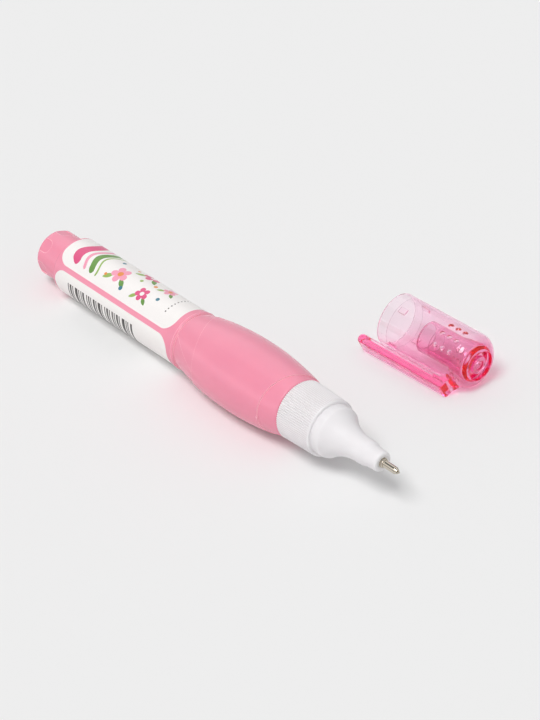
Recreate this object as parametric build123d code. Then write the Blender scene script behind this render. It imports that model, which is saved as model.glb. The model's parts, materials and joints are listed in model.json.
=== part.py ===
from build123d import *
import os
from math import asin, atan2, cos, degrees, sin, sqrt

# Squeeze-barrel correction pen lying on a table, its clear cap taken off and lying beside it.
# The pen is drawn on its own axis: X runs from the rear end to the tip, Y and Z across.
# Each station follows from the lengths before it, each radius from the one it sits in or on.
# All lengths are in millimetres. Everything is laid down on the table at the end.

# Label tube, at the rear of the barrel
tube_r = 6.9
tube_wall = 1.0
tube_length = 43.8
tube_edge_round = 0.45
rim_width = 0.55
rim_rise = 0.2
rim_fall = 0.17
valley_width = 0.2
valley_drop = 0.1

# Squeeze bulge: one long arc with its peak well forward
bulge_length = 34.65
bulge_rise = 1.9
bulge_arc_r = 82.0
bulge_peak_share = 0.5
bulge_wall = 1.1
bulge_bore_margin = 5.2

# Slanting steps in the skin of the bulge, two behind it and one before the nozzle: how far from
# the rim or from the bulge's front end they cross the axis, their swing, depth and roll
crease_ahead = 4.5
crease_swing = 3.7
crease_depth = 0.1
crease_roll = 174.0
leaf_ahead = 2.7
leaf_swing = 7.25
leaf_depth = 0.14
leaf_roll = 244.0
brow_behind = 2.63
brow_swing = 2.56
brow_depth = 0.18
brow_roll = 6.2
brow_edge_round = 0.5
nub_length = 0.5
nub_width = 0.45
nub_rise = 0.1
nub_rolls = [189.5, 9.5]
nub_behind = 5.1

# Neck that the nozzle screws on to
shoulder_length = 3.4
neck_length = 7.7
neck_wall = 1.6
land_step = 0.24
land_length = 2.2

# Rear plug with shallow thumb flats
plug_step = 1.2
plug_length = 8.5
plug_round_share = 0.2
plug_floor = 3.0
plug_skirt_wall = 1.1
plug_skirt_length = 6.1
flange_step = 0.6
flange_length = 1.2
flat_count = 6
flat_depth = 0.38
flat_width_share = 0.58
flat_length_share = 0.46
flat_roll = 134.0

# Printed label films, let in flush with the tube
film = 0.08
label_rear_margin = 0.8
label_front_margin = 1.7
label_corner_share = 0.46
label_gap_roll = 151.3
label_gap_angle = 10.8

# White nozzle with its grip skirt
seat_gap = 0.1
grip_length = 9.7
grip_step = 0.05
grip_taper = 0.33
grip_rear_edge = 0.2
grip_front_round = 0.65
skirt_wall = 1.02
thread_gap = 0.06
bead_step = 0.72
bead_length = 1.84
bead_round = 0.8
flare_length = 8.04
stem_r = 2.88
stem_length = 2.2
stem_taper = 0.1
nose_step = 0.3
nose_step_length = 0.5
nose_length = 3.44
nose_taper = 0.26
nose_round = 0.7
nose_wall = 1.07
gasket_length = 0.8
gasket_lap = 0.1
pocket_length = 1.6
pocket_step = 0.4
chamber_wall = 1.13
chamber_length = 9.8

# Metal tip pressed into the nose
tip_bead_step = 0.15
tip_bead_length = 0.63
tip_bead_round = 0.15
tip_tube_step = 0.2
tip_tube_length = 3.15
tip_taper_length = 0.6
tip_front_share = 0.62
tip_bore_share = 0.41

# Valve pin, its spring and the drilled plug behind the spring
pin_gap = 0.05
pin_reach = 0.5
pin_point_share = 0.43
pin_point_length = 0.25
pin_head_gap = 0.45
pin_head_length = 0.8
retainer_length = 2.8
retainer_flange_length = 0.8
retainer_flange_gap = 0.6
retainer_bore_share = 0.34
spring_inset = 0.3
spring_wire_r = 0.13
spring_turns = 6
spring_sides = 6

# Loose steel ball that stirs the fluid
ball_share = 0.424
ball_play = 0.3
ball_wall_gap = 0.06

# Clear cap, drawn from its mouth at zero towards its closed end
cap_length = 25.25
cap_end_wall = 2.0
dome_length = 3.6
dome_drop = 2.8
mouth_gap = 0.22
mouth_wall = 0.44
mouth_depth = 2.5
mouth_step = 0.16
sleeve_gap = 0.04
sleeve_wall = 0.88
sleeve_start_share = 0.385
end_land = 0.1
end_ring_depth = 1.2
end_boss_share = 0.58
end_boss_drop = 0.35
end_dimple_share = 0.57
end_dimple_depth = 0.45
snap_rib_count = 4
snap_rib_offset = 0.5
snap_rib_length = 2.0
snap_rib_height = 0.3
snap_rib_width = 1.4
snap_rib_roll = 86.5
dimple_ball_r = 0.7
dimple_lift = 0.28
dimple_end_distance = [8.9, 6.8, 4.7]
dimple_rolls = [-26.0, 0.0, 26.0]
clip_overhang = 3.8
clip_setback = 2.9
clip_gap = 0.94
clip_thickness = 2.2
clip_width = 4.2
clip_neck_length = 2.2
clip_neck_slope = 0.8
clip_foot_length = 0.75
clip_sink = 0.4
clip_end_lean = 0.3
clip_end_round_share = 0.45
clip_edge_round = 0.4
clip_groove_width_share = 0.43
clip_groove_depth = 0.5
clip_groove_margin = 2.2

# Where the cap lies: its mouth's place beside the pen, its heading and its roll
cap_place_x = 72.75
cap_place_y = 41.73
cap_heading = 3.45
cap_roll = 118.5

# Clearance of a press fit, and how far a cutting body runs past what it cuts
press_gap = 0.02
overrun = 2.0
quarter_turn = 90.0
half_turn = 180.0
full_turn = 360.0

# Stations along the pen
tube_rear_x = plug_length
rim_x = tube_rear_x + tube_length
rim_front_x = rim_x + rim_width
bulge_rear_x = rim_front_x + valley_width
bulge_front_x = bulge_rear_x + bulge_length
bulge_peak_x = bulge_rear_x + bulge_peak_share * bulge_length
neck_front_x = bulge_front_x + neck_length
grip_rear_x = bulge_front_x + seat_gap
grip_front_x = grip_rear_x + grip_length
bead_front_x = grip_front_x + bead_length
flare_front_x = bead_front_x + flare_length
stem_front_x = flare_front_x + stem_length
nose_rear_x = stem_front_x + nose_step_length
nose_front_x = nose_rear_x + nose_length
shelf_x = neck_front_x + gasket_length
pocket_front_x = shelf_x + pocket_length
chamber_front_x = pocket_front_x + chamber_length
tip_bead_front_x = nose_front_x + tip_bead_length
tip_taper_x = tip_bead_front_x + tip_tube_length
tip_front_x = tip_taper_x + tip_taper_length
pin_front_x = tip_front_x + pin_reach

# Radii, from the outside in
tube_bore_r = tube_r - tube_wall
flange_r = tube_r - flange_step
plug_r = tube_r - plug_step
bulge_peak_r = tube_r + bulge_rise
grip_rear_r = tube_r - grip_step
grip_front_r = grip_rear_r - grip_taper
bead_r = grip_front_r - bead_step
skirt_bore_r = grip_front_r - skirt_wall
land_r = skirt_bore_r - thread_gap
neck_r = land_r - land_step
neck_mouth_r = neck_r - neck_wall
pocket_r = neck_mouth_r - pocket_step
stem_front_r = stem_r - stem_taper
nose_rear_r = stem_front_r - nose_step
nose_front_r = nose_rear_r - nose_taper
chamber_r = stem_r - chamber_wall
tail_r = nose_front_r - nose_wall
tip_bead_r = tail_r - tip_bead_step
tip_tube_r = tip_bead_r - tip_tube_step
tip_bore_r = tip_bore_share * tip_tube_r


def bulge_at(x, sunk=0):
    """Radius of the bulge's outer arc at a station, sunk below its surface."""
    return bulge_peak_r - bulge_arc_r + sqrt((bulge_arc_r - sunk) ** 2 - (x - bulge_peak_x) ** 2)


def bulge_arc(rear_x, front_x, sunk=0):
    """Arc of the bulge between two stations, sunk below its surface."""
    rear = (rear_x, bulge_at(rear_x, sunk))
    peak = (bulge_peak_x, bulge_at(bulge_peak_x, sunk))
    front = (front_x, bulge_at(front_x, sunk))
    return rear, ThreePointArc(rear, peak, front), front


def turned(*lines):
    """Solid turned about the X axis from lines that close a profile."""
    return revolve(make_face([edge for line in lines for edge in line.edges()]), Axis.X)


def lathe(points, rounds=()):
    """Solid turned about the X axis from corner points, some of them rounded."""
    face = make_face(Polyline(*points, close=True))
    for x, r, radius in rounds:
        corner = min(face.vertices(), key=lambda v: abs(v.X - x) + abs(v.Y - r))
        face = fillet(corner, radius)
    return revolve(face, Axis.X)


def rolled(shape, angle):
    """Shape turned about the pen's axis."""
    return Rot(angle, 0, 0) * shape


# Barrel: tube, rim, valley, bulge and neck in one shell
shoulder_x = bulge_front_x - bulge_bore_margin
outer_rear, outer_arc, outer_front = bulge_arc(bulge_rear_x, bulge_front_x)
inner_rear, inner_arc, inner_front = bulge_arc(bulge_rear_x, shoulder_x, bulge_wall)
rear_lines = Polyline(
    (tube_rear_x, flange_r),
    (tube_rear_x, tube_r - tube_edge_round),
)
rear_round = RadiusArc(
    (tube_rear_x, tube_r - tube_edge_round), (tube_rear_x + tube_edge_round, tube_r), tube_edge_round
)
tube_lines = Polyline(
    (tube_rear_x + tube_edge_round, tube_r),
    (rim_x, tube_r),
    (rim_x, tube_r + rim_rise),
    (rim_front_x, tube_r + rim_rise - rim_fall),
    (rim_front_x, tube_r - valley_drop),
    (bulge_rear_x, tube_r - valley_drop),
    outer_rear,
)
front_lines = Polyline(
    outer_front,
    (bulge_front_x, land_r),
    (bulge_front_x + land_length, land_r),
    (bulge_front_x + land_length, neck_r),
    (neck_front_x, neck_r),
    (neck_front_x, neck_mouth_r),
    (shoulder_x + shoulder_length, neck_mouth_r),
    inner_front,
)
bore_lines = Polyline(
    inner_rear,
    (rim_x, tube_bore_r),
    (tube_rear_x + flange_length, tube_bore_r),
    (tube_rear_x + flange_length, flange_r),
    (tube_rear_x, flange_r),
)
barrel = turned(rear_lines, rear_round, tube_lines, outer_arc, front_lines, inner_arc, bore_lines)


def slanted_relief(x, way, swing, depth, roll):
    """Skin of the bulge on one side of a slanting plane, to be taken off the barrel."""
    top_r = bulge_peak_r + overrun
    edge_x = bulge_front_x - brow_edge_round
    low_rear, low_arc, low_front = bulge_arc(bulge_rear_x, edge_x, depth)
    edge_end = (bulge_front_x, low_front[1] - brow_edge_round)
    outside = Polyline(
        edge_end,
        (bulge_front_x + overrun, edge_end[1]),
        (bulge_front_x + overrun, top_r),
        (bulge_rear_x, top_r),
        low_rear,
    )
    skin = turned(low_arc, RadiusArc(low_front, edge_end, brow_edge_round), outside)
    lean = degrees(asin(swing / bulge_peak_r))
    reach = 4 * bulge_peak_r
    block = Pos(way * reach / 2, 0, 0) * Box(reach, reach, reach)
    return skin & Pos(x, 0, 0) * rolled(Rot(0, 0, -lean) * block, roll)


leaf_low = crease_depth + leaf_depth
barrel -= slanted_relief(rim_front_x + crease_ahead, -1, crease_swing, crease_depth, crease_roll)
behind_crease = slanted_relief(rim_front_x + crease_ahead, -1, crease_swing, leaf_low, crease_roll)
barrel -= behind_crease & slanted_relief(rim_front_x + leaf_ahead, -1, leaf_swing, leaf_low, leaf_roll)
barrel -= slanted_relief(bulge_front_x - brow_behind, 1, brow_swing, brow_depth, brow_roll)
nub_x = bulge_front_x - nub_behind
nub_r = bulge_at(nub_x)
for roll in nub_rolls:
    nub = Pos(nub_x, nub_r, 0) * Box(nub_length, 2 * nub_rise, nub_width)
    barrel += rolled(nub, roll)

# Label films: sectors of a thin tube with rounded corners
label_rear_x = tube_rear_x + label_rear_margin
label_front_x = rim_x - label_front_margin
label_span = half_turn - label_gap_angle
label_corner = label_corner_share * tube_r
corner_angle = degrees(asin(label_corner_share))
corner_reach = label_corner + overrun
corner_block = Box(corner_reach, tube_r, corner_reach)
corner_round = Rot(quarter_turn, 0, 0) * Cylinder(label_corner, 4 * tube_r)
film_face = make_face(
    Polyline(
        (label_rear_x, tube_r - film),
        (label_rear_x, tube_r),
        (label_front_x, tube_r),
        (label_front_x, tube_r - film),
        close=True,
    )
)


def label_film(roll):
    """One label film with rounded corners, beginning at a roll angle."""
    sheet = revolve(film_face, Axis.X, label_span)
    for x, x_way in ((label_rear_x + label_corner, -1), (label_front_x - label_corner, 1)):
        for turn, turn_way in ((corner_angle, -1), (label_span - corner_angle, 1)):
            block = Pos(x_way * corner_reach / 2, tube_r, turn_way * corner_reach / 2) * corner_block
            sheet -= rolled(Pos(x, 0, 0) * (block - corner_round), turn)
    return rolled(sheet, roll)


label_barcode = label_film(label_gap_roll + label_gap_angle / 2)
label_main = label_film(label_gap_roll + label_gap_angle / 2 - half_turn)
barrel -= label_main
barrel -= label_barcode

# Rear plug
skirt_r = tube_bore_r - press_gap
skirt_front_x = tube_rear_x + flange_length + plug_skirt_length
rear_plug = lathe(
    [
        (0, 0),
        (0, plug_r),
        (tube_rear_x, plug_r),
        (tube_rear_x, flange_r - press_gap),
        (tube_rear_x + flange_length, flange_r - press_gap),
        (tube_rear_x + flange_length, skirt_r),
        (skirt_front_x, skirt_r),
        (skirt_front_x, skirt_r - plug_skirt_wall),
        (plug_floor, skirt_r - plug_skirt_wall),
        (plug_floor, 0),
    ],
    [(0, plug_r, plug_round_share * plug_r)],
)
flat_width = flat_width_share * plug_r
flat_length = flat_length_share * plug_length
flat_face = SlotCenterToCenter(2 * flat_length - flat_width, flat_width)
for i in range(flat_count):
    cutter = Pos(0, 0, plug_r - flat_depth) * extrude(flat_face, overrun)
    rear_plug -= rolled(cutter, flat_roll - quarter_turn + i * full_turn / flat_count)

# Nozzle: grip skirt, bead for the cap, flare, stem and nose
flare_fall = bead_r - stem_r
flare_angle = 2 * atan2(flare_fall, flare_length)
flare_arc_r = flare_length / sin(flare_angle) - bead_round
flare_rear = (bead_front_x + bead_round * sin(flare_angle), bead_r - bead_round * (1 - cos(flare_angle)))
grip_corner = (grip_front_x - grip_front_round, grip_front_r)
grip_end = (grip_front_x, grip_front_r - grip_front_round)
skirt_lines = Polyline(
    (grip_rear_x, skirt_bore_r),
    (grip_rear_x, grip_rear_r - grip_rear_edge),
    (grip_rear_x + grip_rear_edge, grip_rear_r),
    grip_corner,
)
grip_arc = RadiusArc(grip_corner, grip_end, grip_front_round)
seat_lines = Polyline(grip_end, (grip_front_x, bead_r), (bead_front_x, bead_r))
bead_arc = RadiusArc((bead_front_x, bead_r), flare_rear, bead_round)
flare_arc = RadiusArc(flare_rear, (flare_front_x, stem_r), -flare_arc_r)
nose_lines = Polyline(
    (flare_front_x, stem_r),
    (stem_front_x, stem_front_r),
    (nose_rear_x, nose_rear_r),
    (nose_front_x - nose_round, nose_front_r),
)
nose_end_r = nose_front_r - nose_round
nose_arc = RadiusArc((nose_front_x - nose_round, nose_front_r), (nose_front_x, nose_end_r), nose_round)
bore_side = Polyline(
    (nose_front_x, nose_end_r),
    (nose_front_x, tail_r),
    (chamber_front_x, tail_r),
    (chamber_front_x, chamber_r),
    (pocket_front_x, chamber_r),
    (pocket_front_x, pocket_r),
    (shelf_x, pocket_r),
    (shelf_x, skirt_bore_r),
    (grip_rear_x, skirt_bore_r),
)
nozzle = turned(
    skirt_lines, grip_arc, seat_lines, bead_arc, flare_arc, nose_lines, nose_arc, bore_side
)

# Sealing ring between the neck and the nozzle
seal_gasket = lathe(
    [
        (neck_front_x, neck_mouth_r + gasket_lap),
        (neck_front_x, neck_r + gasket_lap),
        (shelf_x, neck_r + gasket_lap),
        (shelf_x, neck_mouth_r + gasket_lap),
    ]
)

# Metal tip, valve pin, drilled plug and spring
metal_tip = lathe(
    [
        (chamber_front_x, tip_bore_r),
        (chamber_front_x, tail_r - press_gap),
        (nose_front_x, tail_r - press_gap),
        (nose_front_x, tip_bead_r),
        (tip_bead_front_x, tip_bead_r),
        (tip_bead_front_x, tip_tube_r),
        (tip_taper_x, tip_tube_r),
        (tip_front_x, tip_front_share * tip_tube_r),
        (tip_front_x, tip_bore_r),
    ],
    [(tip_bead_front_x, tip_bead_r, tip_bead_round)],
)
pin_r = tip_bore_r - pin_gap
pin_head_rear_x = chamber_front_x - pin_head_length
pin_head_r = chamber_r - pin_head_gap
valve_pin = lathe(
    [
        (pin_head_rear_x, 0),
        (pin_head_rear_x, pin_head_r),
        (chamber_front_x, pin_head_r),
        (chamber_front_x, pin_r),
        (pin_front_x - pin_point_length, pin_r),
        (pin_front_x, pin_point_share * pin_r),
        (pin_front_x, 0),
    ]
)
retainer_front_x = pocket_front_x + retainer_length
retainer_r = chamber_r - press_gap
retainer_rear_x = pocket_front_x - retainer_flange_length
spring_retainer = lathe(
    [
        (retainer_rear_x, retainer_bore_share * chamber_r),
        (retainer_rear_x, pocket_r - retainer_flange_gap),
        (pocket_front_x, pocket_r - retainer_flange_gap),
        (pocket_front_x, retainer_r),
        (retainer_front_x, retainer_r),
        (retainer_front_x, retainer_bore_share * chamber_r),
    ]
)
coil_length = pin_head_rear_x - retainer_front_x - 2 * spring_wire_r
coil = Helix(coil_length / spring_turns, coil_length, pin_head_r - spring_inset)
coil_start = Plane(coil @ 0, z_dir=coil % 0)
coil_body = sweep(coil_start * RegularPolygon(spring_wire_r, spring_sides), coil)
valve_spring = Pos(retainer_front_x + spring_wire_r, 0, 0) * Rot(0, quarter_turn, 0) * coil_body

# Steel ball, resting against the plug on the low side of the tube
ball_r = ball_share * tube_bore_r
ball_x = skirt_front_x + ball_r + ball_play
ball_drop = tube_bore_r - ball_r - ball_wall_gap
agitator_ball = Pos(ball_x, 0, -ball_drop) * Sphere(ball_r)

# Cap: wall, mouth, inner sleeve and closed end in one turning
mouth_bore_r = bead_r + mouth_gap
cap_r = mouth_bore_r + mouth_wall
cap_bore_r = mouth_bore_r - mouth_step
dome_end_r = cap_r - dome_drop
dome_arc_r = (dome_length ** 2 + dome_drop ** 2) / (2 * dome_drop)
cap_inside_x = cap_length - cap_end_wall
sleeve_x = sleeve_start_share * cap_length
sleeve_inner_r = stem_r + sleeve_gap
sleeve_nose_x = nose_rear_x - grip_front_x + seat_gap
sleeve_nose_r = nose_rear_r + sleeve_gap
sleeve_outer_r = sleeve_inner_r + sleeve_wall
end_ring_r = dome_end_r - end_land
end_boss_r = end_boss_share * end_ring_r
end_dimple_r = end_dimple_share * end_boss_r
end_floor_x = cap_length - end_ring_depth
boss_x = cap_length - end_boss_drop
dome_rear = (cap_length - dome_length, cap_r)
dome_arc = RadiusArc(dome_rear, (cap_length, dome_end_r), dome_arc_r)
cap_wall = Polyline((0, mouth_bore_r), (0, cap_r), dome_rear)
cap_lines = Polyline(
    (cap_length, dome_end_r),
    (cap_length, end_ring_r),
    (end_floor_x, end_ring_r),
    (end_floor_x, end_boss_r),
    (boss_x, end_boss_r),
    (boss_x, end_dimple_r),
    (boss_x - end_dimple_depth, end_dimple_r),
    (boss_x - end_dimple_depth, 0),
    (cap_inside_x, 0),
    (cap_inside_x, sleeve_nose_r),
    (sleeve_nose_x, sleeve_nose_r),
    (sleeve_nose_x, sleeve_inner_r),
    (sleeve_x, sleeve_inner_r),
    (sleeve_x, sleeve_outer_r),
    (cap_inside_x, sleeve_outer_r),
)
hollow_round = cap_bore_r - sleeve_outer_r
hollow_end = (cap_inside_x - hollow_round, cap_bore_r)
hollow_arc = RadiusArc((cap_inside_x, sleeve_outer_r), hollow_end, -hollow_round)
mouth_lines = Polyline(hollow_end, (mouth_depth, cap_bore_r), (mouth_depth, mouth_bore_r), (0, mouth_bore_r))
cap = turned(cap_wall, dome_arc, cap_lines, hollow_arc, mouth_lines)
rib_centre_r = cap_bore_r - snap_rib_height / 2 + press_gap
rib_centre_x = mouth_depth + snap_rib_offset + snap_rib_length / 2
for i in range(snap_rib_count):
    rib = Pos(rib_centre_x, 0, rib_centre_r) * Box(snap_rib_length, snap_rib_width, snap_rib_height)
    cap += rolled(rib, snap_rib_roll + i * full_turn / snap_rib_count)

# Clip: a bar beside the wall, grooved on its inner side, joined to the cap near the closed end
clip_rear_x = -clip_overhang
clip_front_x = cap_length - clip_setback
clip_neck_x = clip_front_x - clip_neck_length
clip_inner_r = cap_r + clip_gap
clip_outer_r = clip_inner_r + clip_thickness
clip_face = make_face(
    Polyline(
        (clip_rear_x, clip_inner_r),
        (clip_neck_x, clip_inner_r),
        (clip_neck_x + clip_neck_slope, cap_r - clip_sink),
        (clip_front_x + clip_foot_length, cap_r - clip_sink),
        (clip_front_x, clip_inner_r),
        (clip_front_x - clip_end_lean, clip_outer_r),
        (clip_rear_x, clip_outer_r),
        close=True,
    )
)
for r in (clip_inner_r, clip_outer_r):
    corner = min(clip_face.vertices(), key=lambda v: abs(v.X - clip_rear_x) + abs(v.Y - r))
    clip_face = fillet(corner, clip_end_round_share * clip_thickness)
clip = extrude(clip_face, clip_width / 2, both=True)
outer_edges = [e for e in clip.edges().filter_by(Axis.X) if e.center().Y > clip_outer_r - press_gap]
clip = fillet(outer_edges, clip_edge_round)
groove_rear_x = clip_rear_x + clip_groove_margin
groove_length = clip_neck_x - clip_groove_margin - groove_rear_x
groove_cut = Box(groove_length, 2 * clip_groove_depth, clip_groove_width_share * clip_width)
clip -= Pos(groove_rear_x + groove_length / 2, clip_inner_r, 0) * groove_cut
cap += Rot(quarter_turn, 0, 0) * clip

# Grip dimples on both flanks of the cap
for side in (0, half_turn):
    for roll in dimple_rolls:
        for distance in dimple_end_distance:
            dimple = Pos(cap_length - distance, cap_r + dimple_lift, 0) * Sphere(dimple_ball_r)
            cap -= rolled(dimple, side + roll)

# Laying the pieces down: the pen rests on its tube's rear edge and on its bulge
pen_tilt = degrees(asin(bulge_rise / (bulge_peak_x - tube_rear_x)))
lean_pen = Rot(0, -pen_tilt, 0)
lift = -(lean_pen * barrel).bounding_box().min.Z
cap_turn = Rot(0, 0, cap_heading) * Rot(cap_roll, 0, 0)
cap_lift = -(cap_turn * cap).bounding_box().min.Z
on_pen = {
    "barrel": barrel,
    "rear_plug": rear_plug,
    "label_main": label_main,
    "label_barcode": label_barcode,
    "nozzle": nozzle,
    "seal_gasket": seal_gasket,
    "metal_tip": metal_tip,
    "valve_pin": valve_pin,
    "valve_spring": valve_spring,
    "spring_retainer": spring_retainer,
    "agitator_ball": agitator_ball,
}
laid = {name: Pos(0, 0, lift) * lean_pen * shape for name, shape in on_pen.items()}
laid["cap"] = Pos(cap_place_x, cap_place_y, cap_lift) * cap_turn * cap

# The shared frame starts at the middle of the footprint, on the table
boxes = [shape.bounding_box() for shape in laid.values()]
middle_x = (min(b.min.X for b in boxes) + max(b.max.X for b in boxes)) / 2
middle_y = (min(b.min.Y for b in boxes) + max(b.max.Y for b in boxes)) / 2
os.makedirs("parts", exist_ok=True)
for name, shape in laid.items():
    export_step(Pos(-middle_x, -middle_y, 0) * shape, f"parts/{name}.step")
print("tilt", pen_tilt, "lift", lift, "cap lift", cap_lift, "middle", middle_x, middle_y)
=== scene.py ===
import bpy
import bmesh
import json
import math
from mathutils import Matrix, Vector
from mathutils.geometry import delaunay_2d_cdt


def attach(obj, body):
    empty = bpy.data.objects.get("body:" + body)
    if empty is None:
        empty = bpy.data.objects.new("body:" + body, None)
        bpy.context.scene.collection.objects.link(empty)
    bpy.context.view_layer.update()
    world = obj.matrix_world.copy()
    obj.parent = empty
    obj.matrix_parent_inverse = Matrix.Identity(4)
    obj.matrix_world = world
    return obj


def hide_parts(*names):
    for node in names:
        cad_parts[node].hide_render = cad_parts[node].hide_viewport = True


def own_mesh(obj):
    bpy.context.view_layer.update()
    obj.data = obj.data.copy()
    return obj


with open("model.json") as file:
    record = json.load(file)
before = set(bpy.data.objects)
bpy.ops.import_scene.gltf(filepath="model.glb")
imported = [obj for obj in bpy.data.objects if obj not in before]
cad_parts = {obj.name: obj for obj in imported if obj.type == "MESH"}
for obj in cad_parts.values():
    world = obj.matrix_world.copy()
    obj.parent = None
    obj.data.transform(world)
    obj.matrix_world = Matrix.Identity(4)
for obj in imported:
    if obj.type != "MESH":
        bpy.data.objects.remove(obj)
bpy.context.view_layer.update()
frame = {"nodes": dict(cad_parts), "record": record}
nodes = frame["nodes"]
record = frame["record"]
scene = bpy.context.scene
MM = 0.001

# The pen's own axis, from the mount at its rear end: lengths along it are in millimetres
rear_mount = next(m for m in record["mounts"] if m["name"] == "rear_end")
pen_rear = Vector(rear_mount["pos_m"])
pen_axis = -Vector(rear_mount["axis"]).normalized()
pen_side = Vector((0, 1, 0))
pen_up = pen_axis.cross(pen_side)


def pen_point(x, r, roll):
    """Point on the pen: distance from its rear end, radius, and roll in degrees from the +Y side upwards."""
    a = math.radians(roll)
    return pen_rear + MM * (x * pen_axis + r * (math.cos(a) * pen_side + math.sin(a) * pen_up))


def linear(r, g, b):
    """Colour for a shader from display values of 0 to 255."""
    def one(v):
        v /= 255
        return v / 12.92 if v <= 0.04045 else ((v + 0.055) / 1.055) ** 2.4
    return (one(r), one(g), one(b), 1.0)


def add_object(name, data):
    """New object for a mesh, lamp or camera, placed in the scene."""
    made = bpy.data.objects.new(name, data)
    scene.collection.objects.link(made)
    return made


class Tree:
    """A node tree with short ways to add and join nodes."""

    def __init__(self, tree):
        self.tree = tree

    def add(self, kind, settings=None, **values):
        node = self.tree.nodes.new(kind)
        for key, value in (settings or {}).items():
            setattr(node, key, value)
        for key, value in values.items():
            node.inputs[key.replace("_", " ")].default_value = value
        return node

    def join(self, source, target):
        self.tree.links.new(source, target)

    def shown(self):
        """One for rays that show a thing as it is: from the camera, as a reflection or through glass."""
        path = self.add("ShaderNodeLightPath")
        top = path.outputs["Is Camera Ray"]
        for kind in ("Is Glossy Ray", "Is Transmission Ray"):
            larger = self.add("ShaderNodeMath", {"operation": "MAXIMUM"})
            self.join(top, larger.inputs[0])
            self.join(path.outputs[kind], larger.inputs[1])
            top = larger.outputs["Value"]
        return top


# Cosine of the turn at which the painted highlight along an edge starts, and at which it is full
EDGE_FROM, EDGE_FULL = 0.998, 0.955


class Shader(Tree):
    """A material's node tree."""

    def __init__(self, name):
        self.material = bpy.data.materials.new(name)
        self.material.use_nodes = True
        super().__init__(self.material.node_tree)
        self.tree.nodes.clear()
        self.output = self.add("ShaderNodeOutputMaterial")

    def principled(self, **values):
        node = self.add("ShaderNodeBsdfPrincipled", **values)
        self.join(node.outputs["BSDF"], self.output.inputs["Surface"])
        return node

    def noise(self, scale, detail):
        place = self.add("ShaderNodeTexCoord")
        node = self.add("ShaderNodeTexNoise", Scale=scale, Detail=detail, Roughness=0.55)
        self.join(place.outputs["Object"], node.inputs["Vector"])
        return node

    def ramp(self, source, low, high, start=0.3, end=0.7):
        node = self.add("ShaderNodeValToRGB")
        for stop, place, colour in zip(node.color_ramp.elements, (start, end), (low, high)):
            stop.position = place
            stop.color = colour
        self.join(source, node.inputs["Fac"])
        return node

    def spread(self, source, low, high):
        node = self.add("ShaderNodeMapRange", To_Min=low, To_Max=high)
        self.join(source, node.inputs["Value"])
        return node

    def edges(self, radius, most):
        """Share that grows from zero on smooth skin to its most along the edges of steps."""
        bevel = self.add("ShaderNodeBevel", {"samples": 8}, Radius=radius)
        place = self.add("ShaderNodeNewGeometry")
        turn = self.add("ShaderNodeVectorMath", {"operation": "DOT_PRODUCT"})
        self.join(bevel.outputs["Normal"], turn.inputs[0])
        self.join(place.outputs["Normal"], turn.inputs[1])
        node = self.add("ShaderNodeMapRange", From_Min=EDGE_FROM, From_Max=EDGE_FULL, To_Min=0.0, To_Max=most)
        self.join(turn.outputs["Value"], node.inputs["Value"])
        return node

    def bump(self, source, strength, distance):
        node = self.add("ShaderNodeBump", Strength=strength, Distance=distance)
        self.join(source, node.inputs["Height"])
        return node


# Moulded plastic: scales are in marks to the metre, and lengths in metres
FLOW_SCALE, SKIN_SCALE = 120.0, 2600.0
SKIN_HEIGHT = 0.00004
SOFT_DEPTH = 0.0015
# Width and strength of the paler colour painted along the edges of steps as a highlight
EDGE_HIGHLIGHT_WIDTH, EDGE_HIGHLIGHT_SHARE = 0.00016, 0.9
GLOSS_RANGE = 0.05


def moulded(name, colour, shade, rough, bump=0.06, soft=0.0, soft_radius=(1.0, 0.4, 0.4), edge=None):
    """Moulded plastic: slight flow marks in its colour, a fine skin, a satin gloss and a highlight painted in a
    paler colour along the edges of steps.
    """
    s = Shader(name)
    p = s.principled(IOR=1.46)
    p.inputs["Subsurface Weight"].default_value = soft
    p.inputs["Subsurface Radius"].default_value = soft_radius
    p.inputs["Subsurface Scale"].default_value = SOFT_DEPTH
    flow = s.noise(FLOW_SCALE, 2.0)
    tint = s.ramp(flow.outputs["Fac"], shade, colour)
    if edge:
        # The colour sockets of a Mix node go by number, because its other kinds share their names
        # Painted highlight: a paler colour mixed in along the edges of steps, where light would catch them
        edge_highlight_mask = s.edges(EDGE_HIGHLIGHT_WIDTH, EDGE_HIGHLIGHT_SHARE)
        mix = s.add("ShaderNodeMix", {"data_type": "RGBA"})
        s.join(edge_highlight_mask.outputs["Result"], mix.inputs[0])
        s.join(tint.outputs["Color"], mix.inputs[6])
        mix.inputs[7].default_value = edge
        s.join(mix.outputs[2], p.inputs["Base Color"])
    else:
        s.join(tint.outputs["Color"], p.inputs["Base Color"])
    skin = s.noise(SKIN_SCALE, 4.0)
    gloss = s.spread(skin.outputs["Fac"], rough - GLOSS_RANGE, rough + GLOSS_RANGE)
    s.join(gloss.outputs["Result"], p.inputs["Roughness"])
    rise = s.bump(skin.outputs["Fac"], bump, SKIN_HEIGHT)
    s.join(rise.outputs["Normal"], p.inputs["Normal"])
    return s.material


# Label film: the grain of its print, and the slight waves in its gloss
SCREEN_SCALE, WAVE_SCALE = 5200.0, 420.0
WAVE_BUMP, WAVE_HEIGHT = 0.05, 0.00005
FILM_GLOSS = (0.28, 0.38)


def printed(name, colour, shade):
    """Ink or bare white on the label's glossy film, with a fine screen grain."""
    s = Shader(name)
    p = s.principled(IOR=1.48)
    grain = s.noise(SCREEN_SCALE, 2.0)
    tint = s.ramp(grain.outputs["Fac"], shade, colour)
    s.join(tint.outputs["Color"], p.inputs["Base Color"])
    waves = s.noise(WAVE_SCALE, 2.0)
    gloss = s.spread(waves.outputs["Fac"], *FILM_GLOSS)
    s.join(gloss.outputs["Result"], p.inputs["Roughness"])
    rise = s.bump(waves.outputs["Fac"], WAVE_BUMP, WAVE_HEIGHT)
    s.join(rise.outputs["Normal"], p.inputs["Normal"])
    return s.material


# Turning marks on metal
TURNED_SCALE = 9000.0
TURNED_BUMP, TURNED_HEIGHT = 0.08, 0.00001


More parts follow.
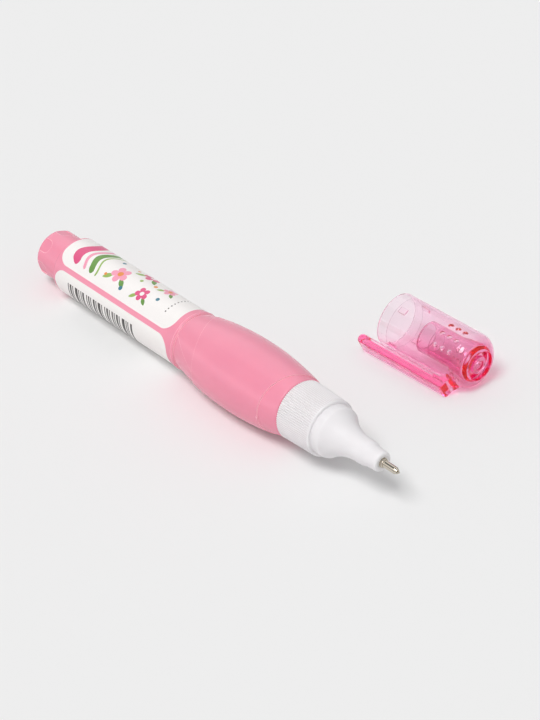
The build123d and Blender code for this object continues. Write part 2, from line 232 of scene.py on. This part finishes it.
def plated(name, colour, rough, scratch):
    """Bright metal with fine turning marks."""
    s = Shader(name)
    p = s.principled(Metallic=1.0)
    p.inputs["Base Color"].default_value = colour
    marks = s.noise(TURNED_SCALE, 3.0)
    gloss = s.spread(marks.outputs["Fac"], rough - scratch, rough + scratch)
    s.join(gloss.outputs["Result"], p.inputs["Roughness"])
    rise = s.bump(marks.outputs["Fac"], TURNED_BUMP, TURNED_HEIGHT)
    s.join(rise.outputs["Normal"], p.inputs["Normal"])
    return s.material


# Clear plastic: its surface, what its shadow lets through, and the tint of its body
CLEAR_SURFACE = (0.976, 0.97, 0.973, 1.0)
CLEAR_SHADOW = (0.76, 0.66, 0.69, 1.0)
CLEAR_BODY, CLEAR_DENSITY = (0.986, 0.035, 0.53, 1.0), 285.0
SWIRL_SCALE = 260.0
SWIRL_BUMP, SWIRL_HEIGHT = 0.03, 0.0002


def clear_tinted(name):
    """Clear tinted plastic: colour grows with the thickness that light passes, and lamps shine through it."""
    s = Shader(name)
    p = s.add("ShaderNodeBsdfPrincipled", IOR=1.5, Roughness=0.02)
    p.inputs["Transmission Weight"].default_value = 1.0
    p.inputs["Base Color"].default_value = CLEAR_SURFACE
    swirl = s.noise(SWIRL_SCALE, 2.0)
    rise = s.bump(swirl.outputs["Fac"], SWIRL_BUMP, SWIRL_HEIGHT)
    s.join(rise.outputs["Normal"], p.inputs["Normal"])
    passing = s.add("ShaderNodeBsdfTransparent", Color=CLEAR_SHADOW)
    path = s.add("ShaderNodeLightPath")
    either = s.add("ShaderNodeMixShader")
    s.join(path.outputs["Is Shadow Ray"], either.inputs["Fac"])
    s.join(p.outputs["BSDF"], either.inputs[1])
    s.join(passing.outputs["BSDF"], either.inputs[2])
    s.join(either.outputs["Shader"], s.output.inputs["Surface"])
    body = s.add("ShaderNodeVolumeAbsorption", Color=CLEAR_BODY, Density=CLEAR_DENSITY)
    s.join(body.outputs["Volume"], s.output.inputs["Volume"])
    return s.material


# The nickel is mirror-sharp, so that it shows the panels of the studio's sky
# The pink gets a paler colour painted along the edges of its steps as a highlight
pink = moulded("pink_plastic", linear(238, 145, 168), linear(235, 141, 165), 0.25, soft=0.12,
               edge=linear(255, 196, 208))
white = moulded("white_plastic", linear(233, 230, 232), linear(229, 226, 228), 0.5, bump=0.04, soft=0.45,
                soft_radius=(1.0, 0.95, 0.95))
# A darker white painted on the floors of the grip grooves as shade
groove_painted_shade = moulded("groove_painted_shade", linear(224, 218, 220), linear(220, 214, 216), 0.5, bump=0.04, soft=0.45,
                       soft_radius=(1.0, 0.95, 0.95))
rubber = moulded("seal_rubber", linear(58, 58, 60), linear(48, 48, 50), 0.6)
nickel = plated("nickel", linear(206, 198, 184), 0.002, 0.001)
steel = plated("spring_steel", linear(205, 206, 208), 0.24, 0.05)
clear = clear_tinted("clear_pink")
film_white = printed("film_white", linear(243, 239, 237), linear(239, 235, 233))
ink_pink = printed("ink_pink", linear(222, 84, 132), linear(214, 74, 124))
ink_rose = printed("ink_rose", linear(240, 158, 182), linear(236, 150, 176))
ink_green = printed("ink_green", linear(104, 150, 66), linear(92, 138, 56))
ink_moss = printed("ink_moss", linear(150, 182, 92), linear(140, 172, 82))
ink_teal = printed("ink_teal", linear(58, 124, 142), linear(48, 112, 132))
ink_orange = printed("ink_orange", linear(228, 142, 60), linear(220, 132, 50))
ink_dark = printed("ink_dark", linear(70, 66, 66), linear(58, 54, 54))

# Each solid gets its material, also those that a piece below stands for
for name, material in (
    ("barrel", pink),
    ("rear_plug", pink),
    ("label_main", film_white),
    ("label_barcode", film_white),
    ("nozzle", white),
    ("spring_retainer", white),
    ("seal_gasket", rubber),
    ("metal_tip", nickel),
    ("valve_pin", nickel),
    ("valve_spring", steel),
    ("agitator_ball", steel),
    ("cap", clear),
):
    slots = nodes[name].data.materials
    slots.clear()
    slots.append(material)

# Printed label films: the outlines of a plain pattern are cut into the sheet, so each ink has its own faces
TUBE_R = 6.9
LABEL_REAR, LABEL_FRONT = 9.3, 50.6
LABEL_SPAN = 169.2
LABEL_CORNER = 0.46 * TUBE_R
CORNER_STEPS = 16
MAIN_ROLL, BACK_ROLL = -23.3, 156.7
ARC = math.radians(1) * TUBE_R
GRID_COLUMNS = 40
GRID_ROWS = int(LABEL_SPAN / 2.0)
LONGEST_EDGE = 0.24


def label_outline():
    """Outline of a film with rounded corners, in millimetres along the pen and round the tube."""
    edge = math.degrees(math.asin(LABEL_CORNER / TUBE_R))
    corners = (
        (LABEL_FRONT - LABEL_CORNER, LABEL_SPAN - edge, 0),
        (LABEL_REAR + LABEL_CORNER, LABEL_SPAN - edge, 90),
        (LABEL_REAR + LABEL_CORNER, edge, 180),
        (LABEL_FRONT - LABEL_CORNER, edge, 270),
    )
    points = []
    for x, roll, turn in corners:
        for i in range(CORNER_STEPS + 1):
            t = math.radians(turn + i * 90 / CORNER_STEPS)
            swing = math.degrees(math.asin(LABEL_CORNER * math.sin(t) / TUBE_R))
            points.append((x + LABEL_CORNER * math.cos(t), (roll + swing) * ARC))
    return points


def disc(x, s, r, count=28):
    """Round dot."""
    return [(x + r * math.cos(2 * math.pi * i / count), s + r * math.sin(2 * math.pi * i / count))
            for i in range(count)]


def blossom(x, s, r, petals=5, turn=0.3, count=60):
    """Plain flower with rounded petals."""
    points = []
    for i in range(count):
        a = 2 * math.pi * i / count
        reach = r * (0.55 + 0.45 * abs(math.cos(petals * a / 2)) ** 0.7)
        points.append((x + reach * math.cos(a + turn), s + reach * math.sin(a + turn)))
    return points


def leaf(x, s, length, width, heading, count=12):
    """Pointed leaf, turned to a heading in degrees."""
    a = math.radians(heading)
    points = []
    for side in (1, -1):
        for i in range(count):
            t = i / count if side == 1 else 1 - i / count
            along, across = (t - 0.5) * length, side * width / 2 * math.sin(math.pi * t) ** 0.8
            points.append((x + along * math.cos(a) - across * math.sin(a),
                           s + along * math.sin(a) + across * math.cos(a)))
    return points[::-1]


def ribbon(x, width, sway, period, phase, low, high, steps=72):
    """Waving band round the tube, with rounded ends."""
    left, right_side = [], []
    for i in range(steps + 1):
        t = low + (high - low) * i / steps
        middle = x + sway * math.sin(2 * math.pi * t / period + phase)
        half = width / 2 * min(1, math.sqrt(max(0.0, min(t - low, high - t)) / (width / 2) + 0.02))
        left.append((middle - half, t))
        right_side.append((middle + half, t))
    return right_side + left[::-1]


def finer(outline):
    """Outline with its long edges divided, so that it bends with the tube."""
    points = []
    for (x0, s0), (x1, s1) in zip(outline, outline[1:] + outline[:1]):
        pieces = max(1, math.ceil(abs(s1 - s0) / LONGEST_EDGE))
        points += [(x0 + (x1 - x0) * k / pieces, s0 + (s1 - s0) * k / pieces) for k in range(pieces)]
    return points


def label_sheet(name, node, start_roll, shapes):
    """Film laid on the tube as one sheet, with a material for each ink."""
    points, faces = [], []
    for shape in [label_outline()] + [outline for outline, _ in shapes]:
        shape = finer(shape)
        faces.append(list(range(len(points), len(points) + len(shape))))
        points += shape
    for i in range(1, GRID_COLUMNS):
        for j in range(1, GRID_ROWS):
            points.append((LABEL_REAR + (LABEL_FRONT - LABEL_REAR) * i / GRID_COLUMNS,
                           LABEL_SPAN * ARC * j / GRID_ROWS))
    flat, _, triangles, _, _, owners = delaunay_2d_cdt([Vector(p) for p in points], [], faces, 1, 1e-5)
    inks = [film_white]
    tones = [0]
    for _, ink in shapes:
        if ink not in inks:
            inks.append(ink)
        tones.append(inks.index(ink))
    mesh = bpy.data.meshes.new(name)
    places = [pen_point(p.x, TUBE_R, start_roll + p.y / ARC) for p in flat]
    kept = [(t, max(o)) for t, o in zip(triangles, owners) if o and 0 in o]
    mesh.from_pydata(places, [], [t for t, _ in kept])
    for ink in inks:
        mesh.materials.append(ink)
    for polygon, (_, owner) in zip(mesh.polygons, kept):
        polygon.material_index = tones[owner]
        polygon.use_smooth = True
    normals = []
    for place in places:
        along = (place - pen_rear).dot(pen_axis)
        normals.append((place - pen_rear - along * pen_axis).normalized())
    if mesh.polygons[0].normal.dot(normals[mesh.polygons[0].vertices[0]]) < 0:
        mesh.flip_normals()
    mesh.normals_split_custom_set_from_vertices(normals)
    piece = add_object(name, mesh)
    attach(piece, "barrel")
    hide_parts(node)
    return piece


# Upper label: places are in millimetres along the pen and round the tube from the film's edge
RIBBON_PERIOD, RIBBON_LOW, RIBBON_HIGH = 9.0, 1.6, 18.8
DOT_ROW, DOT_FIRST, DOT_STEP, DOT_R, DOT_COUNT = 46.0, 3.6, 0.94, 0.2, 15
motifs = []
for x, width, sway, phase, ink in (
    (14.3, 2.7, 0.75, 0.0, ink_pink),
    (17.3, 0.9, 0.75, 0.4, ink_rose),
    (19.5, 1.7, 0.7, 0.9, ink_green),
    (21.3, 0.5, 0.7, 1.3, ink_moss),
):
    motifs.append((ribbon(x, width, sway, RIBBON_PERIOD, phase, RIBBON_LOW, RIBBON_HIGH), ink))
for x, s, r, ink in (
    (27.6, 15.0, 2.5, ink_rose),
    (37.0, 16.3, 1.9, ink_pink),
    (33.0, 9.6, 2.4, ink_pink),
    (26.2, 6.3, 1.8, ink_rose),
    (41.0, 11.2, 1.8, ink_rose),
    (41.6, 4.4, 2.0, ink_pink),
    (32.0, 3.2, 1.6, ink_rose),
):
    for side, heading, green in ((-1, 140, ink_moss), (1, 40, ink_green)):
        motifs.append((leaf(x + side * r * 0.95, s + 0.75 * r, r * 1.25, r * 0.5, heading), green))
    motifs.append((blossom(x, s, r), ink))
    motifs.append((disc(x, s, 0.3 * r), ink_orange if ink is ink_rose else film_white))
for x, s, r, ink in (
    (24.2, 11.2, 0.5, ink_teal), (30.8, 17.9, 0.55, ink_teal), (37.4, 12.6, 0.5, ink_orange),
    (29.0, 10.6, 0.4, ink_orange), (37.2, 6.8, 0.55, ink_teal), (24.3, 16.9, 0.4, ink_orange),
    (41.6, 15.4, 0.5, ink_teal), (33.3, 13.4, 0.45, ink_moss), (28.8, 2.0, 0.5, ink_teal),
    (36.6, 2.2, 0.4, ink_orange), (23.3, 3.2, 0.45, ink_moss),
):
    motifs.append((disc(x, s, r, 20), ink))
for i in range(DOT_COUNT):
    motifs.append((disc(DOT_ROW, DOT_FIRST + DOT_STEP * i, DOT_R, 14), ink_dark))
label_front = label_sheet("label_print", "label_main", MAIN_ROLL, motifs)

# Lower label: plain bars that encode nothing
BARS_REAR, BARS_FRONT = 14.3, 38.6
BAR_LOW, BAR_HIGH = 2.1, 9.6
BAR_WIDTHS = (0.33, 0.66, 0.33, 0.99, 0.33, 0.33, 0.66, 0.33, 0.5)
BAR_GAPS = (0.4, 0.33, 0.66, 0.33, 0.5, 0.33, 0.83)
bars = []
start = BARS_REAR
while start < BARS_FRONT:
    width = BAR_WIDTHS[len(bars) % len(BAR_WIDTHS)]
    gap = BAR_GAPS[len(bars) % len(BAR_GAPS)]
    bars.append(([(start, BAR_LOW), (start + width, BAR_LOW), (start + width, BAR_HIGH), (start, BAR_HIGH)],
                 ink_dark))
    start += width + gap
label_back = label_sheet("label_bars", "label_barcode", BACK_ROLL, bars)


def band(built, a, b):
    """Faces between two rings of points, in order round the rings."""
    return [built.faces.new(corners) for corners in zip(a, b, b[1:] + b[:1], a[1:] + a[:1])]


def finished(built, name, materials):
    """Smooth mesh of what has been built, with its materials."""
    bmesh.ops.recalc_face_normals(built, faces=built.faces)
    mesh = bpy.data.meshes.new(name)
    built.to_mesh(mesh)
    built.free()
    for material in materials:
        mesh.materials.append(material)
    mesh.shade_smooth()
    return mesh


# White nozzle with fine grip ridges, turned from its outline
RIDGES = 84
RIDGE_DEPTH = 0.15
RIDGE_END, RIDGE_FADE = 97.0, 0.8
RIDGED_ABOVE_R = 6.2
GROOVE_STEPS = 8
# Columns of each ridge whose faces get the darker white, as painted shade in the groove floors
GROOVE_FLOOR = (2, 3, 4, 5)
COLUMNS = GROOVE_STEPS * RIDGES
ROUND_STEPS = 6
ROW_LENGTH = 0.8
SHARP_ANGLE = 50


def rounded(points):
    """Outline with its corners rounded: each point is a station, a radius and a rounding."""
    out = []
    for i, (x, r, soft) in enumerate(points):
        if soft <= 0 or i in (0, len(points) - 1):
            out.append((x, r))
            continue
        here = Vector((x, r))
        before = Vector(points[i - 1][:2]) - here
        after = Vector(points[i + 1][:2]) - here
        half = before.angle(after) / 2
        cut = min(soft / math.tan(half), 0.49 * before.length, 0.49 * after.length)
        first, last = here + before.normalized() * cut, here + after.normalized() * cut
        for k in range(ROUND_STEPS + 1):
            t = k / ROUND_STEPS
            out.append(tuple((1 - t) ** 2 * first + 2 * t * (1 - t) * here + t * t * last))
    return out


# The cap seat rolls over a small arc into the flare, which a large arc leads into the stem
SEAT_END, SEAT_R = 99.34, 5.8
STEM_START, STEM_R = 107.38, 2.88
FLARE_RUN = 8.04
SWELL_ARC_R, FLARE_ARC_R = 0.8, 11.73
lean = 2 * math.atan2(SEAT_R - STEM_R, FLARE_RUN)
swell = [(SEAT_END + SWELL_ARC_R * math.sin(lean * i / 8), SEAT_R - SWELL_ARC_R * (1 - math.cos(lean * i / 8)))
         for i in range(9)]
flare = [(STEM_START - FLARE_ARC_R * math.sin(lean * i / 16), STEM_R + FLARE_ARC_R * (1 - math.cos(lean * i / 16)))
         for i in range(15, -1, -1)]

# Skirt, seat, flare, stem and nose from the rear to the front, then the bores back to the skirt's mouth
outer = [(87.8, 5.5, 0), (87.8, 6.85, 0.15), (97.5, 6.52, 0.65), (97.5, SEAT_R, 0.1)]
outer += [(x, r, 0) for x, r in swell + flare]
outer += [(109.58, 2.78, 1.2), (110.08, 2.48, 1.2), (113.52, 2.22, 0.7), (113.52, 1.15, 0)]
inner = [(107.6, 1.15), (107.6, 1.75), (97.8, 1.75), (97.8, 3.2), (96.2, 3.2), (96.2, 5.5)]
section = rounded(outer) + inner
dense = []
for (x0, r0), (x1, r1) in zip(section, section[1:]):
    pieces = max(1, int((Vector((x1, r1)) - Vector((x0, r0))).length / ROW_LENGTH))
    dense += [(x0 + (x1 - x0) * k / pieces, r0 + (r1 - r0) * k / pieces) for k in range(pieces)]
dense.append(section[-1])


def ridge_share(x, r):
    """How deep the grip ridges are at a point of the outline: only the skirt is wide enough to have them."""
    if r < RIDGED_ABOVE_R:
        return 0.0
    return min(1.0, max(0.0, (RIDGE_END - x) / RIDGE_FADE))


built = bmesh.new()
rings = []
for x, r in dense:
    ring = []
    for j in range(COLUMNS):
        turn = 360 * j / COLUMNS
        dip = RIDGE_DEPTH * ridge_share(x, r) * (0.5 - 0.5 * math.cos(math.radians(turn * RIDGES)))
        ring.append(built.verts.new(pen_point(x, r - dip, turn)))
    rings.append(ring)
for (x, r), a, b in zip(dense, rings, rings[1:] + rings[:1]):
    faces = band(built, a, b)
    # The floors of the deeper grooves get the darker white: painted shade
    if ridge_share(x, r) > 0.5:
        for j, face in enumerate(faces):
            if j % GROOVE_STEPS in GROOVE_FLOOR:
                face.material_index = 1
nozzle_mesh = finished(built, "nozzle_ridged", (white, groove_painted_shade))
nozzle_mesh.set_sharp_from_angle(angle=math.radians(SHARP_ANGLE))
nozzle = add_object("nozzle_ridged", nozzle_mesh)
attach(nozzle, "nozzle")
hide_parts("nozzle")

# Valve spring as a smooth coil between its seats
SEAT_REAR, SEAT_FRONT = 100.6, 106.8
WIRE_R, COIL_R = 0.13, 1.0
COIL_TURNS, TURN_STEPS, WIRE_SIDES = 6, 32, 10
wire = bmesh.new()
loops = []
coil_run = SEAT_FRONT - SEAT_REAR - 2 * WIRE_R
for i in range(COIL_TURNS * TURN_STEPS + 1):
    along = SEAT_REAR + WIRE_R + coil_run * i / (COIL_TURNS * TURN_STEPS)
    loop = []
    for j in range(WIRE_SIDES):
        a = 2 * math.pi * j / WIRE_SIDES
        loop.append(wire.verts.new(pen_point(along + WIRE_R * math.sin(a), COIL_R + WIRE_R * math.cos(a),
                                             360 * i / TURN_STEPS)))
    loops.append(loop)
for a, b in zip(loops, loops[1:]):
    band(wire, a, b)
wire.faces.new(loops[0])
wire.faces.new(loops[-1])
coil = add_object("spring_coil", finished(wire, "spring_coil", (steel,)))
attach(coil, "nozzle")
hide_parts("valve_spring")
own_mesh(coil)

# Pale table, a small share of which shines for itself where it is seen, so that it keeps the object's shadow
FLOOR_REACH = 3.0
FLOOR_COLOUR = linear(239, 239, 239)
FLOOR_GLOW = 0.1
floor_mesh = bpy.data.meshes.new("floor")
floor_mesh.from_pydata(
    [(x * FLOOR_REACH, y * FLOOR_REACH, 0) for x, y in ((-1, -1), (1, -1), (1, 1), (-1, 1))], [], [(0, 1, 2, 3)]
)
floor = add_object("floor", floor_mesh)
table = Shader("table_white")
table_top = table.add("ShaderNodeBsdfPrincipled", Roughness=0.9)
table_top.inputs["Base Color"].default_value = FLOOR_COLOUR
table_top.inputs["Specular IOR Level"].default_value = 0.0
glow = table.add("ShaderNodeEmission", Color=FLOOR_COLOUR, Strength=1.0)
share = table.add("ShaderNodeMath", {"operation": "MULTIPLY"})
share.inputs[1].default_value = FLOOR_GLOW
table.join(table.shown(), share.inputs[0])
lit = table.add("ShaderNodeMixShader")
table.join(share.outputs["Value"], lit.inputs["Fac"])
table.join(table_top.outputs["BSDF"], lit.inputs[1])
table.join(glow.outputs["Emission"], lit.inputs[2])
table.join(lit.outputs["Shader"], table.output.inputs["Surface"])
floor_mesh.materials.append(table.material)

scene.view_settings.view_transform = "Standard"
world = bpy.data.worlds.new("studio")
scene.world = world
world.use_nodes = True
studio = Tree(world.node_tree)
sky = world.node_tree.nodes["Background"]
sky.inputs["Color"].default_value = (1, 1, 1, 1)

# Even sky: dimmer for plain light than for what is seen directly, through glass or as a reflection
SKY_DIM, SKY_SHOWN = 0.48, 0.85
sky_level = studio.add("ShaderNodeMapRange", To_Min=SKY_DIM, To_Max=SKY_SHOWN)
studio.join(studio.shown(), sky_level.inputs["Value"])

# Mirror-sharp metal shows two long pale panels beside the pen, and a darker room between and beyond them.
# Each stop is a place from the +Y horizon over the top to the -Y one, and the level there.
SKY_BANDS = ((0.0, 0.3), (0.17, 0.3), (0.21, 1.05), (0.4, 1.05), (0.44, 0.16), (0.66, 0.16), (0.7, 1.05),
             (0.9, 1.05), (0.93, 0.25), (1.0, 0.25))
heading = studio.add("ShaderNodeTexCoord")
parts = studio.add("ShaderNodeSeparateXYZ")
studio.join(heading.outputs["Generated"], parts.inputs["Vector"])
swing = studio.add("ShaderNodeMath", {"operation": "ARCTAN2"})
studio.join(parts.outputs["Z"], swing.inputs[0])
studio.join(parts.outputs["Y"], swing.inputs[1])
half_turn = studio.add("ShaderNodeMapRange", From_Min=0.0, From_Max=math.pi)
studio.join(swing.outputs["Value"], half_turn.inputs["Value"])
panels = studio.add("ShaderNodeValToRGB")
stops = panels.color_ramp.elements
while len(stops) < len(SKY_BANDS):
    stops.new(0.5)
for stop, (place, level) in zip(stops, SKY_BANDS):
    stop.position = place
    stop.color = (level, level, level, 1.0)
studio.join(half_turn.outputs["Result"], panels.inputs["Fac"])
sky_path = studio.add("ShaderNodeLightPath")
mirrored = studio.add("ShaderNodeMath", {"operation": "SUBTRACT", "use_clamp": True})
studio.join(sky_path.outputs["Is Singular Ray"], mirrored.inputs[0])
studio.join(sky_path.outputs["Is Transmission Ray"], mirrored.inputs[1])
sky_mix = studio.add("ShaderNodeMix")
studio.join(mirrored.outputs["Value"], sky_mix.inputs["Factor"])
studio.join(sky_level.outputs["Result"], sky_mix.inputs["A"])
studio.join(panels.outputs["Color"], sky_mix.inputs["B"])
studio.join(sky_mix.outputs["Result"], sky.inputs["Strength"])

# One broad lamp above, leaning to the camera's left
KEY_STRENGTH, KEY_SPREAD = 1.84, 24
KEY_HEADING = Vector((-0.1, 0.49, -0.866))
lamp = bpy.data.lights.new("key", "SUN")
lamp.energy = KEY_STRENGTH
lamp.angle = math.radians(KEY_SPREAD)
key = add_object("key", lamp)
key.rotation_euler = KEY_HEADING.to_track_quat("-Z", "Y").to_euler()

# Two soft panels that show only in gloss: the metal has panels of its own in the sky, so these leave it out
PANEL_LENGTH, PANEL_BACK = 2.0, -0.25
bare_metal = bpy.data.collections.new("bare_metal")
for name in ("metal_tip", "valve_pin"):
    bare_metal.objects.link(nodes[name])
for entry in bare_metal.collection_objects:
    entry.light_linking.link_state = "EXCLUDE"


def gloss_panel(name, turn, distance, width, power):
    """Long soft panel beside the pen, at a turn in degrees from the +Y side upwards."""
    a = math.radians(turn)
    light = bpy.data.lights.new(name, "AREA")
    light.shape = "RECTANGLE"
    light.size = PANEL_LENGTH
    light.size_y = width
    light.energy = power
    panel = add_object(name, light)
    away = Vector((0, math.cos(a), math.sin(a)))
    panel.location = Vector((PANEL_BACK, 0, 0)) + distance * away
    panel.rotation_euler = (-away).to_track_quat("-Z", "Y").to_euler()
    panel.visible_camera = False
    panel.visible_diffuse = False
    panel.visible_transmission = False
    panel.light_linking.receiver_collection = bare_metal


gloss_panel("panel_high", 75, 0.55, 0.69, 3.7)
gloss_panel("panel_low", 173, 0.6, 0.2, 1.2)

# Light turns many times inside the clear cap
BOUNCES = 256
scene.cycles.max_bounces = BOUNCES
scene.cycles.transmission_bounces = BOUNCES
scene.cycles.glossy_bounces = BOUNCES
scene.cycles.transparent_max_bounces = 64

# Camera at the photograph's place: its offset from the pen's rear end is in millimetres
CAMERA_DISTANCE, CAMERA_RIGHT, CAMERA_DOWN, CAMERA_ALONG = 562.2, 50.0, 25.3, 0.4
elevation = math.radians(34.66)
right = Vector((0.6462, 0.7632, 0)).normalized()
level = Vector((-right.y, right.x, 0))
ahead = math.cos(elevation) * level - math.sin(elevation) * Vector((0, 0, 1))
above = right.cross(ahead)
eye = pen_rear + MM * (
    CAMERA_ALONG * pen_axis + CAMERA_RIGHT * right - CAMERA_DOWN * above - CAMERA_DISTANCE * ahead
)
view = bpy.data.cameras.new("view")
view.sensor_fit = "HORIZONTAL"
view.sensor_width = 36.0
view.lens = 160.0
view.clip_start = 0.01
camera = add_object("camera", view)
camera.matrix_world = Matrix((
    (right.x, above.x, -ahead.x, eye.x),
    (right.y, above.y, -ahead.y, eye.y),
    (right.z, above.z, -ahead.z, eye.z),
    (0, 0, 0, 1),
))
scene.camera = camera
